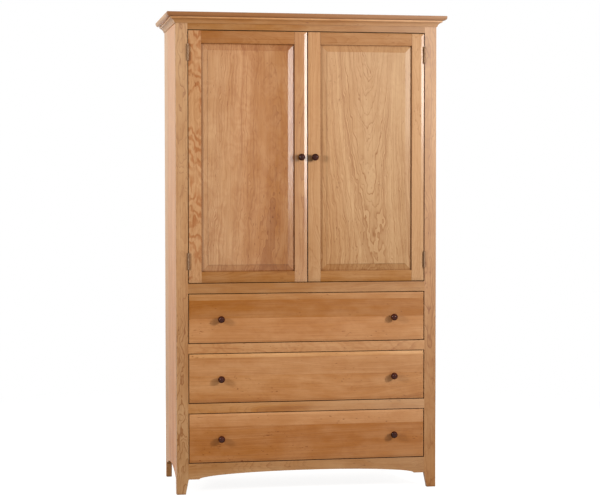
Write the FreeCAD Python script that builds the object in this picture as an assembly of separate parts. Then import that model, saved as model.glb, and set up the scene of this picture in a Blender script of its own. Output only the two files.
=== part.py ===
import FreeCAD, Part
import math
import os

# A two-door armoire over three drawers, in solid wood. The face frame stands in front of plank sides,
# the doors and drawers are set into it flush, and a cove crown runs round the top.
# X is to the viewer's right, Y to the back and Z up. The origin is on the floor, in the middle of the
# crown's outline. All sizes are in millimetres.

Vec = FreeCAD.Vector
AXES = "xyz"

# Case
OVERALL_HEIGHT = 1928.0
CASE_WIDTH = 1068.0
CASE_DEPTH = 457.0
SIDE_THICKNESS = 22.0
SIDE_ARCH_RISE = 34.0
SIDE_FOOT_DEPTH = 38.0
SIDE_FOOT_TAPER = 7.0
BACK_THICKNESS = 12.0
BACK_RABBET = 10.0
BACK_BOARD_COUNT = 7
BACK_BOARD_GAP = 0.6
BACK_TONGUE_LENGTH = 6.0
BACK_TONGUE_THICKNESS = 4.0
BACK_JOINT_CHAMFER = 1.5
CABLE_PORT_RADIUS = 30.0
CABLE_PORT_HEIGHT = 90.0

# Face frame
FRAME_THICKNESS = 22.0
STILE_WIDTH = 48.0
FOOT_HEIGHT = 60.0
FOOT_TAPER = 12.0
APRON_HEIGHT = 64.0
APRON_ARCH_RISE = 26.0
APRON_ARCH_FLAT = 43.0
DRAWER_RAIL_HEIGHT = 39.0
SILL_RAIL_HEIGHT = 40.0
TOP_RAIL_HEIGHT = 49.0
FRAME_TENON_LENGTH = 30.0
FRAME_TENON_THICKNESS = 8.0
FRAME_TENON_SHOULDER = 6.0
TENON_CLEARANCE = 0.1
TENON_END_GAP = 1.0

# Crown
CROWN_THICKNESS = 18.0
CROWN_OVERHANG = 37.0
CROWN_EDGE_CHAMFER = 1.5
CROWN_ROUND_RADIUS = 12.0
COVE_HEIGHT = 24.0
COVE_PROJECTION = 20.5
COVE_TOP_FILLET = 7.0
COVE_QUIRK = 3.0
COVE_HOLLOW = 3.0
COVE_FOOT = 3.0

# Inside of the case
BOTTOM_RUNNER_HEIGHT = 26.0
RUNNER_LEDGE = 24.0
GUIDE_HEIGHT = 15.0
REAR_RAIL_THICKNESS = 24.0
REAR_RAIL_STOP = 12.0
REAR_TOP_RAIL_HEIGHT = 50.0
STUB_TENON_LENGTH = 10.0
STUB_TENON_THICKNESS = 10.0
STUB_TENON_INSET = 3.0
WORK_SURFACE_THICKNESS = 20.0
WORK_SURFACE_LIP = 8.0
SHELF_THICKNESS = 20.0
SHELF_HEIGHT = 500.0
SHELF_SETBACK = 15.0
SHELF_END_GAP = 1.0
SHELF_REAR_GAP = 3.0
CLEAT_HEIGHT = 28.0
CLEAT_SLANT = 14.0
CLEAT_THICKNESS = 18.0
CLEAT_INSET = 12.0

# Doors
REVEAL = 3.0
MEETING_GAP = 3.5
DOOR_THICKNESS = 22.0
DOOR_STILE_WIDTH = 51.5
DOOR_TOP_RAIL_WIDTH = 51.0
DOOR_BOTTOM_RAIL_WIDTH = 44.0
DOOR_BEVEL_WIDTH = 12.0
DOOR_BEVEL_DEPTH = 2.2
DOOR_TENON_LENGTH = 30.0
DOOR_TENON_HAUNCH = 10.0
PANEL_GROOVE_SETBACK = 7.6
PANEL_GROOVE_WIDTH = 7.0
PANEL_GROOVE_DEPTH = 10.0
PANEL_EDGE_GAP = 2.0
PANEL_CLEARANCE = 0.2
PANEL_BEVEL_WIDTH = 27.0
PANEL_FIELD_SETBACK = 1.0
PANEL_FIELD_STEP = 1.5
STOP_GAP = 0.4

# Door hardware
HINGE_LENGTH = 64.0
HINGE_INSET = 55.0
HINGE_LEAF_WIDTH = 17.0
HINGE_LEAF_THICKNESS = 2.2
HINGE_LEAF_GAP = 0.4
HINGE_KNUCKLE_COUNT = 3
HINGE_KNUCKLE_RADIUS = 3.5
HINGE_KNUCKLE_GAP = 0.3
HINGE_KNUCKLE_STANDOFF = 0.3
HINGE_PIN_RADIUS = 1.75
HINGE_PIN_CLEARANCE = 0.08
CATCH_WIDTH = 40.0
CATCH_DEPTH = 15.0
CATCH_RISE = 20.0
CATCH_DROP = 20.0
STRIKE_WIDTH = 30.0
STRIKE_HEIGHT = 13.0
STRIKE_THICKNESS = 1.5
STRIKE_TOP_INSET = 3.0

# Knobs
KNOB_RADIUS = 14.0
KNOB_PROJECTION = 34.0
KNOB_NOSE_RADIUS = 7.0
KNOB_DOME_HEIGHT = 11.0
KNOB_RIM_HEIGHT = 6.0
KNOB_STEM_LENGTH = 8.0
KNOB_STEM_RADIUS = 6.5
DOOR_KNOB_INSET = 26.0

# Drawers
DRAWER_NAMES = ("bottom_drawer", "middle_drawer", "top_drawer")
DRAWER_OPENING = 202.0
DRAWER_FRONT_THICKNESS = 22.0
DRAWER_BEVEL_WIDTH = 9.0
DRAWER_BEVEL_DEPTH = 1.8
DRAWER_SIDE_THICKNESS = 12.0
DRAWER_SIDE_DROP = 10.0
DRAWER_BACK_THICKNESS = 12.0
DRAWER_RUN_CLEARANCE = 0.3
DRAWER_STOP_GAP = 0.5
DRAWER_BOTTOM_THICKNESS = 6.0
DRAWER_BOTTOM_HEIGHT = 10.0
DRAWER_GROOVE_DEPTH = 6.0
DRAWER_BOTTOM_GAP = 0.5
DRAWER_KNOB_INSET = 128.0
DRAWER_KNOB_DROP = 3.0
DOVETAIL_COUNT = 4
DOVETAIL_LENGTH = 15.0
DOVETAIL_SLOPE = 1.0 / 7.0
DOVETAIL_PIN = 16.0

# Places that follow from the sizes
FRONT = -(CASE_DEPTH - CROWN_OVERHANG) / 2
REAR = FRONT + CASE_DEPTH
HALF_WIDTH = CASE_WIDTH / 2
INSIDE = HALF_WIDTH - SIDE_THICKNESS
OPENING = HALF_WIDTH - STILE_WIDTH
CASE_TOP = OVERALL_HEIGHT - CROWN_THICKNESS
FRAME_BACK = FRONT + FRAME_THICKNESS
BACK_FACE = REAR - BACK_THICKNESS
REAR_RAIL_FACE = BACK_FACE - REAR_RAIL_THICKNESS
DRAWER_REAR = REAR_RAIL_FACE - DRAWER_STOP_GAP

APRON_TOP = FOOT_HEIGHT + APRON_HEIGHT
DRAWER_PITCH = DRAWER_OPENING + DRAWER_RAIL_HEIGHT
DRAWER_FLOORS = [APRON_TOP + level * DRAWER_PITCH for level in range(len(DRAWER_NAMES))]
SILL_BOTTOM = DRAWER_FLOORS[-1] + DRAWER_OPENING
SILL_TOP = SILL_BOTTOM + SILL_RAIL_HEIGHT
DOOR_HEAD = CASE_TOP - TOP_RAIL_HEIGHT
BACK_BOTTOM = APRON_TOP - BOTTOM_RUNNER_HEIGHT
FRAME_RAILS = {
    "arched_apron": (FOOT_HEIGHT, APRON_TOP),
    "lower_drawer_rail": (DRAWER_FLOORS[1] - DRAWER_RAIL_HEIGHT, DRAWER_FLOORS[1]),
    "upper_drawer_rail": (DRAWER_FLOORS[2] - DRAWER_RAIL_HEIGHT, DRAWER_FLOORS[2]),
    "door_sill_rail": (SILL_BOTTOM, SILL_TOP),
    "top_rail": (DOOR_HEAD, CASE_TOP),
}
RUNNERS = {
    "arched_apron": (BACK_BOTTOM, APRON_TOP),
    "lower_drawer_rail": FRAME_RAILS["lower_drawer_rail"],
    "upper_drawer_rail": FRAME_RAILS["upper_drawer_rail"],
}

WORK_SURFACE_TOP = SILL_TOP + WORK_SURFACE_LIP
WORK_SURFACE_BOTTOM = WORK_SURFACE_TOP - WORK_SURFACE_THICKNESS
SHELF_BOTTOM = WORK_SURFACE_TOP + SHELF_HEIGHT
DOOR_STOP = FRONT + DOOR_THICKNESS + STOP_GAP
SHELF_FRONT = max(DOOR_STOP, FRAME_BACK) + SHELF_SETBACK
SHELF_REAR = BACK_FACE - SHELF_REAR_GAP

DOOR_BOTTOM = SILL_TOP + REVEAL
DOOR_TOP = DOOR_HEAD - REVEAL
DOOR_OUTER = -(OPENING - REVEAL)
DOOR_INNER = -MEETING_GAP / 2
DOOR_BACK = FRONT + DOOR_THICKNESS
DOOR_KNOB_X = DOOR_INNER - DOOR_KNOB_INSET
DOOR_KNOB_Z = (DOOR_BOTTOM + DOOR_TOP) / 2
PANEL_LEFT = DOOR_OUTER + DOOR_STILE_WIDTH
PANEL_RIGHT = DOOR_INNER - DOOR_STILE_WIDTH
PANEL_BOTTOM = DOOR_BOTTOM + DOOR_BOTTOM_RAIL_WIDTH
PANEL_TOP = DOOR_TOP - DOOR_TOP_RAIL_WIDTH
GROOVE_FRONT = FRONT + PANEL_GROOVE_SETBACK
GROOVE_BACK = GROOVE_FRONT + PANEL_GROOVE_WIDTH
STRIKE_TOP = DOOR_TOP - STRIKE_TOP_INSET

PIN_X = -(OPENING - REVEAL / 2)
PIN_Y = FRONT - HINGE_KNUCKLE_RADIUS - HINGE_KNUCKLE_STANDOFF
HINGE_BOTTOMS = (DOOR_BOTTOM + HINGE_INSET, DOOR_TOP - HINGE_INSET - HINGE_LENGTH)


def block(x, y, z):
    """A box between pairs of coordinates."""
    low = Vec(min(x), min(y), min(z))
    return Part.makeBox(abs(x[1] - x[0]), abs(y[1] - y[0]), abs(z[1] - z[0]), low)


def point(axis, level, pair):
    """The point at a level along an axis, with the pair on the other two axes, in X, Y, Z order."""
    place = list(pair)
    place.insert(AXES.index(axis), level)
    return Vec(*place)


def swept(axis, levels, edges):
    """A closed outline of edges at the first level, drawn out along the axis to the second."""
    travel = point(axis, levels[1] - levels[0], (0, 0))
    return Part.Face(Part.Wire(edges)).extrude(travel)


def lines(points):
    return [Part.LineSegment(a, b).toShape() for a, b in zip(points, points[1:])]


def prism(axis, levels, outline):
    """A straight-sided outline drawn out along an axis."""
    points = [point(axis, levels[0], pair) for pair in outline]
    return swept(axis, levels, lines(points + points[:1]))


def arc(a, through, b):
    return Part.Arc(a, through, b).toShape()


def cylinder(centre, radius, length, direction):
    return Part.makeCylinder(radius, length, centre, direction)


def mirrored(shape):
    return shape.mirror(Vec(0, 0, 0), Vec(1, 0, 0))


def whole(shape):
    """The one solid of a shape, with faces in one plane joined."""
    solids = shape.removeSplitter().Solids
    if len(solids) != 1 or not solids[0].isValid():
        raise ValueError("a piece has to be one valid solid")
    return solids[0]


def bevelled_slab(x, y, z, bevel_width, bevel_depth):
    """A board whose front face falls away towards all four edges, mitred at the corners."""
    shoulder = y[0] + bevel_depth

    def section(across):
        low, high = across
        return [
            (low, shoulder),
            (low + bevel_width, y[0]),
            (high - bevel_width, y[0]),
            (high, shoulder),
            (high, y[1]),
            (low, y[1]),
        ]

    upright = prism("z", z, section(x))
    level = prism("x", x, [(front, up) for up, front in section(z)])
    return upright.common(level)


# Case


def left_side():
    """A plank with an arch cut in its foot and a rabbet for the back boards."""
    arch_front = FRONT + SIDE_FOOT_DEPTH
    arch_rear = REAR - SIDE_FOOT_DEPTH
    crown = ((arch_front + arch_rear) / 2, FOOT_HEIGHT + SIDE_ARCH_RISE)
    outline = [
        (arch_rear, FOOT_HEIGHT),
        (arch_rear + SIDE_FOOT_TAPER, 0),
        (REAR, 0),
        (REAR, CASE_TOP),
        (FRAME_BACK, CASE_TOP),
        (FRAME_BACK, 0),
        (arch_front - SIDE_FOOT_TAPER, 0),
        (arch_front, FOOT_HEIGHT),
    ]
    outer = -HALF_WIDTH
    points = [point("x", outer, pair) for pair in outline]
    arch = arc(points[-1], point("x", outer, crown), points[0])
    plank = swept("x", (outer, -INSIDE), lines(points) + [arch])
    rabbet = block((-INSIDE - BACK_RABBET, -INSIDE), (BACK_FACE, REAR), (BACK_BOTTOM, CASE_TOP))
    return whole(plank.cut(rabbet))


def frame_tenon(z, clearance=0.0, end_gap=0.0):
    """The tenon at the left end of a face-frame rail, or with clearances the mortise for it."""
    middle = FRONT + FRAME_THICKNESS / 2
    half = FRAME_TENON_THICKNESS / 2 + clearance
    shoulder = FRAME_TENON_SHOULDER - clearance
    x = (-OPENING - FRAME_TENON_LENGTH - end_gap, -OPENING)
    return block(x, (middle - half, middle + half), (z[0] + shoulder, z[1] - shoulder))


def left_stile():
    """The upright of the face frame, with its tapered foot, rail mortises and hinge recesses."""
    outline = [
        (-HALF_WIDTH, 0),
        (-OPENING - FOOT_TAPER, 0),
        (-OPENING, FOOT_HEIGHT),
        (-OPENING, CASE_TOP),
        (-HALF_WIDTH, CASE_TOP),
    ]
    stile = prism("y", (FRONT, FRAME_BACK), outline)
    for z in FRAME_RAILS.values():
        stile = stile.cut(frame_tenon(z, TENON_CLEARANCE, TENON_END_GAP))
    for bottom in HINGE_BOTTOMS:
        recess = (-OPENING, PIN_X - HINGE_LEAF_GAP / 2 - HINGE_LEAF_THICKNESS)
        stile = stile.cut(
            block(recess, (FRONT, FRONT + HINGE_LEAF_WIDTH), (bottom, bottom + HINGE_LENGTH))
        )
    return whole(stile)


def runner_stub(end, z, clearance=0.0, end_gap=0.0):
    """A stub tenon of a left drawer runner, at its front or rear end, or with clearances its mortise."""
    inset = STUB_TENON_INSET - clearance
    x = (-OPENING + inset, -OPENING + RUNNER_LEDGE - inset)
    length = STUB_TENON_LENGTH + end_gap
    y = (FRAME_BACK - length, FRAME_BACK) if end == "front" else (REAR_RAIL_FACE, REAR_RAIL_FACE + length)
    middle = sum(z) / 2
    half = STUB_TENON_THICKNESS / 2 + clearance
    return block(x, y, (middle - half, middle + half))


def runner_mortises(end, z):
    left = runner_stub(end, z, TENON_CLEARANCE, TENON_END_GAP)
    return [left, mirrored(left)]


def frame_rail(name):
    """A straight rail of the face frame between the stiles, with a tenon at each end."""
    z = FRAME_RAILS[name]
    tenon = frame_tenon(z)
    rail = block((-OPENING, OPENING), (FRONT, FRAME_BACK), z).fuse([tenon, mirrored(tenon)])
    if name in RUNNERS:
        rail = rail.cut(runner_mortises("front", RUNNERS[name]))
    return whole(rail)


def arched_apron():
    """The bottom rail, cut to half an ellipse between two short level ends."""
    half_span = OPENING - APRON_ARCH_FLAT
    centre = Vec(0, FRONT, FOOT_HEIGHT)
    ellipse = Part.Ellipse(centre + Vec(half_span, 0, 0), centre + Vec(0, 0, APRON_ARCH_RISE), centre)
    arch = Part.ArcOfEllipse(ellipse, 0, math.pi).toShape()
    ends = [(half_span, FOOT_HEIGHT), (OPENING, FOOT_HEIGHT), (OPENING, APRON_TOP)]
    ends += [(-x, up) for x, up in reversed(ends)]
    border = lines([point("y", FRONT, pair) for pair in ends])
    tenon = frame_tenon(FRAME_RAILS["arched_apron"])
    apron = swept("y", (FRONT, FRAME_BACK), [arch] + border[::-1]).fuse([tenon, mirrored(tenon)])
    return whole(apron.cut(runner_mortises("front", RUNNERS["arched_apron"])))


def crown_board():
    """A board with its top edges eased and its lower edges rounded, at the front and both ends."""
    reach = HALF_WIDTH + CROWN_OVERHANG
    middle = CASE_TOP + CROWN_THICKNESS / 2
    board = block((-reach, reach), (FRONT - CROWN_OVERHANG, REAR), (CASE_TOP, OVERALL_HEIGHT))

    def outer_edges():
        return [edge for edge in board.Edges if edge.BoundBox.YMin < FRONT]

    board = board.makeFillet(CROWN_ROUND_RADIUS, [e for e in outer_edges() if e.BoundBox.ZMax < middle])
    board = board.makeChamfer(CROWN_EDGE_CHAMFER, [e for e in outer_edges() if e.BoundBox.ZMin > middle])
    return whole(board)


def cove_outline(place):
    """The edges of the cove's section; place turns a projection and a height into a point."""
    bottom = CASE_TOP - COVE_HEIGHT
    lip = CASE_TOP - COVE_TOP_FILLET
    hollow = COVE_PROJECTION - COVE_QUIRK
    across, drop = hollow - COVE_FOOT, lip - bottom
    chord = math.hypot(across, drop)
    through = (
        (hollow + COVE_FOOT) / 2 - COVE_HOLLOW * drop / chord,
        (lip + bottom) / 2 + COVE_HOLLOW * across / chord,
    )
    path = [(COVE_FOOT, bottom), (0, bottom), (0, CASE_TOP), (COVE_PROJECTION, CASE_TOP)]
    path += [(COVE_PROJECTION, lip), (hollow, lip)]
    points = [place(*pair) for pair in path]
    return lines(points) + [arc(points[-1], place(*through), points[0])]


def mitre(keep_front):
    """The space beyond the left mitre of the crown's moulding, on one side of the mitre or the other."""
    reach = 2 * COVE_PROJECTION
    corner = (-HALF_WIDTH, FRONT)
    far = (-HALF_WIDTH - reach, FRONT - reach)
    third = (far[0], FRONT) if keep_front else (-HALF_WIDTH, far[1])
    return prism("z", (CASE_TOP - COVE_HEIGHT, CASE_TOP), [corner, far, third])


def front_cove():
    reach = HALF_WIDTH + COVE_PROJECTION
    strip = swept("x", (-reach, reach), cove_outline(lambda out, up: Vec(-reach, FRONT - out, up)))
    waste = mitre(keep_front=True)
    return whole(strip.cut([waste, mirrored(waste)]))


def left_cove():
    start = FRONT - COVE_PROJECTION
    strip = swept("y", (start, REAR), cove_outline(lambda out, up: Vec(-HALF_WIDTH - out, start, up)))
    return whole(strip.cut(mitre(keep_front=False)))


def back_board(index):
    """One upright board of the back, tongued into its right-hand neighbour."""
    reach = INSIDE + BACK_RABBET
    width = 2 * reach / BACK_BOARD_COUNT
    left = -reach + index * width
    right = left + width
    first, last = index == 0, index == BACK_BOARD_COUNT - 1
    if not last:
        right -= BACK_BOARD_GAP
    chamfer = BACK_JOINT_CHAMFER
    corners = [
        (left if first else left + chamfer, BACK_FACE),
        (right if last else right - chamfer, BACK_FACE),
        (right, BACK_FACE if last else BACK_FACE + chamfer),
        (right, REAR if last else REAR - chamfer),
        (right if last else right - chamfer, REAR),
        (left if first else left + chamfer, REAR),
        (left, REAR if first else REAR - chamfer),
        (left, BACK_FACE if first else BACK_FACE + chamfer),
    ]
    outline = [corner for i, corner in enumerate(corners) if corner != corners[i - 1]]
    z = (BACK_BOTTOM, CASE_TOP)
    board = prism("z", z, outline)
    middle = (BACK_FACE + REAR) / 2
    half = BACK_TONGUE_THICKNESS / 2
    if not last:
        board = board.fuse(block((right, right + BACK_TONGUE_LENGTH), (middle - half, middle + half), z))
    if not first:
        slot = half + TENON_CLEARANCE
        depth = BACK_TONGUE_LENGTH + TENON_END_GAP
        board = board.cut(block((left, left + depth), (middle - slot, middle + slot), z))
    if index == BACK_BOARD_COUNT // 2:
        mouth = Vec(left + width / 2, BACK_FACE, WORK_SURFACE_TOP + CABLE_PORT_HEIGHT)
        board = board.cut(cylinder(mouth, CABLE_PORT_RADIUS, BACK_THICKNESS, Vec(0, 1, 0)))
    return whole(board)


# Inside of the case


def rear_rail(bottom, top):
    return block((-INSIDE, INSIDE), (REAR_RAIL_FACE, BACK_FACE), (bottom, top))


def web_frame(z):
    """Two runners with side guides and a rear rail that stops the drawer; also the kickers below."""
    bottom, floor = z
    ledge = -OPENING + RUNNER_LEDGE
    section = [
        (-INSIDE, bottom),
        (ledge, bottom),
        (ledge, floor),
        (-OPENING, floor),
        (-OPENING, floor + GUIDE_HEIGHT),
        (-INSIDE, floor + GUIDE_HEIGHT),
    ]
    runner = prism("y", (FRAME_BACK, REAR_RAIL_FACE), section)
    runner = whole(runner.fuse([runner_stub("front", z), runner_stub("rear", z)]))
    rail = rear_rail(bottom, floor + REAR_RAIL_STOP).cut(runner_mortises("rear", z))
    return [runner, mirrored(runner), whole(rail)]


def work_surface_frame():
    """Cleats and a rear rail that carry the work surface and keep the top drawer from tipping."""
    z = (SILL_BOTTOM, WORK_SURFACE_BOTTOM)
    cleat = block((-INSIDE, -OPENING + RUNNER_LEDGE), (FRAME_BACK, REAR_RAIL_FACE), z)
    return [cleat, mirrored(cleat), rear_rail(*z)]


def work_surface():
    y = (max(DOOR_STOP, FRAME_BACK), BACK_FACE)
    return block((-INSIDE, INSIDE), y, (WORK_SURFACE_BOTTOM, WORK_SURFACE_TOP))


def shelf():
    x = INSIDE - SHELF_END_GAP
    return block((-x, x), (SHELF_FRONT, SHELF_REAR), (SHELF_BOTTOM, SHELF_BOTTOM + SHELF_THICKNESS))


def shelf_cleats():
    """Strips on the sides that carry the shelf, cut back at a slant below their front ends."""
    front, rear = SHELF_FRONT + CLEAT_INSET, SHELF_REAR - CLEAT_INSET
    low = SHELF_BOTTOM - CLEAT_HEIGHT
    outline = [
        (front + CLEAT_SLANT, low),
        (rear, low),
        (rear, SHELF_BOTTOM),
        (front, SHELF_BOTTOM),
        (front, low + CLEAT_SLANT),
    ]
    left = prism("x", (-INSIDE, -INSIDE + CLEAT_THICKNESS), outline)
    return [left, mirrored(left)]


# Doors and their hardware, made for the left door and mirrored for the right one


def door_tenon(z, clearance=0.0, end_gap=0.0):
    """The tenon at the left end of a door rail, or with clearances the mortise for it."""
    x = (PANEL_LEFT - DOOR_TENON_LENGTH - end_gap, PANEL_LEFT)
    y = (GROOVE_FRONT - clearance, GROOVE_BACK + clearance)
    return block(x, y, (z[0] - clearance, z[1] + clearance))


def door_tenon_heights():
    """The heights of the tenons of the bottom and the top rail, clear of the panel's groove."""
    clear = PANEL_GROOVE_DEPTH + PANEL_EDGE_GAP
    bottom_rail = (DOOR_BOTTOM + DOOR_TENON_HAUNCH, PANEL_BOTTOM - clear)
    return bottom_rail, (PANEL_TOP + clear, DOOR_TOP - DOOR_TENON_HAUNCH)


def across_door(shape):
    """The same feature at the other upright of the door."""
    middle = Vec((PANEL_LEFT + PANEL_RIGHT) / 2, 0, 0)
    return shape.mirror(middle, Vec(1, 0, 0))


def door_member(x, z):
    slab = bevelled_slab(
        (DOOR_OUTER, DOOR_INNER),
        (FRONT, DOOR_BACK),
        (DOOR_BOTTOM, DOOR_TOP),
        DOOR_BEVEL_WIDTH,
        DOOR_BEVEL_DEPTH,
    )
    return slab.common(block(x, (FRONT, DOOR_BACK), z))


def door_hinge_stile():
    groove_x = (PANEL_LEFT - PANEL_GROOVE_DEPTH, PANEL_LEFT)
    groove_z = (PANEL_BOTTOM - PANEL_GROOVE_DEPTH, PANEL_TOP + PANEL_GROOVE_DEPTH)
    stile = door_member((DOOR_OUTER, PANEL_LEFT), (DOOR_BOTTOM, DOOR_TOP))
    stile = stile.cut(block(groove_x, (GROOVE_FRONT, GROOVE_BACK), groove_z))
    for z in door_tenon_heights():
        stile = stile.cut(door_tenon(z, TENON_CLEARANCE, TENON_END_GAP))
    return stile


def left_door_hinge_stile():
    stile = door_hinge_stile()
    recess = (DOOR_OUTER, PIN_X + HINGE_LEAF_GAP / 2 + HINGE_LEAF_THICKNESS)
    for bottom in HINGE_BOTTOMS:
        y = (FRONT, FRONT + HINGE_LEAF_WIDTH)
        stile = stile.cut(block(recess, y, (bottom, bottom + HINGE_LENGTH)))
    return whole(stile)


def left_door_meeting_stile():
    stile = across_door(door_hinge_stile())
    return whole(stile.cut(left_door_strike()))


def left_door_strike():
    half = STRIKE_WIDTH / 2
    x = (DOOR_KNOB_X - half, DOOR_KNOB_X + half)
    return block(x, (DOOR_BACK - STRIKE_THICKNESS, DOOR_BACK), (STRIKE_TOP - STRIKE_HEIGHT, STRIKE_TOP))


def left_door_rail(z, groove_z, tenon_z):
    x = (PANEL_LEFT, PANEL_RIGHT)
    tenon = door_tenon(tenon_z)
    rail = door_member(x, z).cut(block(x, (GROOVE_FRONT, GROOVE_BACK), groove_z))
    return whole(rail.fuse([tenon, across_door(tenon)]))


def left_door_bottom_rail():
    groove = (PANEL_BOTTOM - PANEL_GROOVE_DEPTH, PANEL_BOTTOM)
    return left_door_rail((DOOR_BOTTOM, PANEL_BOTTOM), groove, door_tenon_heights()[0])


def left_door_top_rail():
    groove = (PANEL_TOP, PANEL_TOP + PANEL_GROOVE_DEPTH)
    return left_door_rail((PANEL_TOP, DOOR_TOP), groove, door_tenon_heights()[1])


def left_door_panel():
    """A raised panel: a tongue in the frame's groove, a bevel on four sides and a flat field."""
    reach = PANEL_GROOVE_DEPTH - PANEL_EDGE_GAP
    tongue_front = GROOVE_FRONT + PANEL_CLEARANCE
    tongue_back = GROOVE_BACK - PANEL_CLEARANCE
    field = FRONT + PANEL_FIELD_SETBACK

    def section(low, high):
        left = [
            (low - reach, tongue_back),
            (low - reach, tongue_front),
            (low, tongue_front),
            (low + PANEL_BEVEL_WIDTH, field + PANEL_FIELD_STEP),
            (low + PANEL_BEVEL_WIDTH, field),
        ]
        return left + [(low + high - across, depth) for across, depth in reversed(left)]

    x = (PANEL_LEFT - reach, PANEL_RIGHT + reach)
    z = (PANEL_BOTTOM - reach, PANEL_TOP + reach)
    upright = prism("z", z, section(PANEL_LEFT, PANEL_RIGHT))
    level = prism("x", x, [(depth, up) for up, depth in section(PANEL_BOTTOM, PANEL_TOP)])
    return whole(upright.common(level))


def knob(x, z):
    """A turned knob: a round stem and a head that swells to a straight rim and closes to a flat nose."""
    rim_out = KNOB_PROJECTION - KNOB_DOME_HEIGHT
    outline = [
        (0, 0),
        (KNOB_STEM_RADIUS, 0),
        (KNOB_STEM_RADIUS, KNOB_STEM_LENGTH),
        (KNOB_RADIUS, rim_out - KNOB_RIM_HEIGHT),
        (KNOB_RADIUS, rim_out),
        (KNOB_NOSE_RADIUS, KNOB_PROJECTION),
        (0, KNOB_PROJECTION),
    ]
    points = [Vec(x + radius, FRONT - out, z) for radius, out in outline]
    face = Part.Face(Part.Wire(lines(points + points[:1])))
    return whole(face.revolve(points[0], Vec(0, 1, 0), 360))


def hinge_leaf(bottom, side, knuckles):
    """A leaf of a butt hinge; side is -1 for the case and 1 for the door, knuckles are its own."""
    inner = PIN_X + side * HINGE_LEAF_GAP / 2
    x = (inner, inner + side * HINGE_LEAF_THICKNESS)
    plate_front = PIN_Y + HINGE_KNUCKLE_RADIUS + HINGE_LEAF_GAP
    leaf = block(x, (plate_front, FRONT + HINGE_LEAF_WIDTH), (bottom, bottom + HINGE_LENGTH))
    pitch = HINGE_LENGTH / HINGE_KNUCKLE_COUNT
    for index in knuckles:
        low = bottom + index * pitch + (HINGE_KNUCKLE_GAP / 2 if index else 0)
        last = index == HINGE_KNUCKLE_COUNT - 1
        high = bottom + (index + 1) * pitch - (0 if last else HINGE_KNUCKLE_GAP / 2)
        barrel = cylinder(Vec(PIN_X, PIN_Y, low), HINGE_KNUCKLE_RADIUS, high - low, Vec(0, 0, 1))
        leaf = leaf.fuse([barrel, block(x, (PIN_Y, plate_front), (low, high))])
    bore = HINGE_PIN_RADIUS + HINGE_PIN_CLEARANCE
    return whole(leaf.cut(cylinder(Vec(PIN_X, PIN_Y, bottom), bore, HINGE_LENGTH, Vec(0, 0, 1))))


def hinge_pin(bottom):
    return cylinder(Vec(PIN_X, PIN_Y, bottom), HINGE_PIN_RADIUS, HINGE_LENGTH, Vec(0, 0, 1))


def case_leaves():
    left = [hinge_leaf(bottom, -1, range(0, HINGE_KNUCKLE_COUNT, 2)) for bottom in HINGE_BOTTOMS]
    return left + [mirrored(leaf) for leaf in left]


def left_door_leaves():
    return [hinge_leaf(bottom, 1, range(1, HINGE_KNUCKLE_COUNT, 2)) for bottom in HINGE_BOTTOMS]


def hinge_pins():
    left = [hinge_pin(bottom) for bottom in HINGE_BOTTOMS]
    return left + [mirrored(pin) for pin in left]


def door_catches():
    """Magnet catches behind the top rail; their lower half stands just behind the closed doors."""
    x = (DOOR_KNOB_X - CATCH_WIDTH / 2, DOOR_KNOB_X + CATCH_WIDTH / 2)
    rear = max(DOOR_STOP, FRAME_BACK) + CATCH_DEPTH
    upper = block(x, (FRAME_BACK, rear), (DOOR_HEAD, DOOR_HEAD + CATCH_RISE))
    lower = block(x, (DOOR_STOP, rear), (DOOR_HEAD - CATCH_DROP, DOOR_HEAD))
    left = whole(upper.fuse(lower))
    return [left, mirrored(left)]


# Drawers


def tails(shoulder, end, low, high, x):
    """Dovetails on a drawer side between two heights, from the shoulder to the end, widening."""
    pitch = (high - low) / DOVETAIL_COUNT
    narrow = (pitch - DOVETAIL_PIN) / 2
    wide = narrow + abs(end - shoulder) * DOVETAIL_SLOPE
    made = []
    for index in range(DOVETAIL_COUNT):
        middle = low + (index + 0.5) * pitch
        outline = [
            (shoulder, middle - narrow),
            (end, middle - wide),
            (end, middle + wide),
            (shoulder, middle + narrow),
        ]
        made.append(prism("x", x, outline))
    return made


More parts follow.
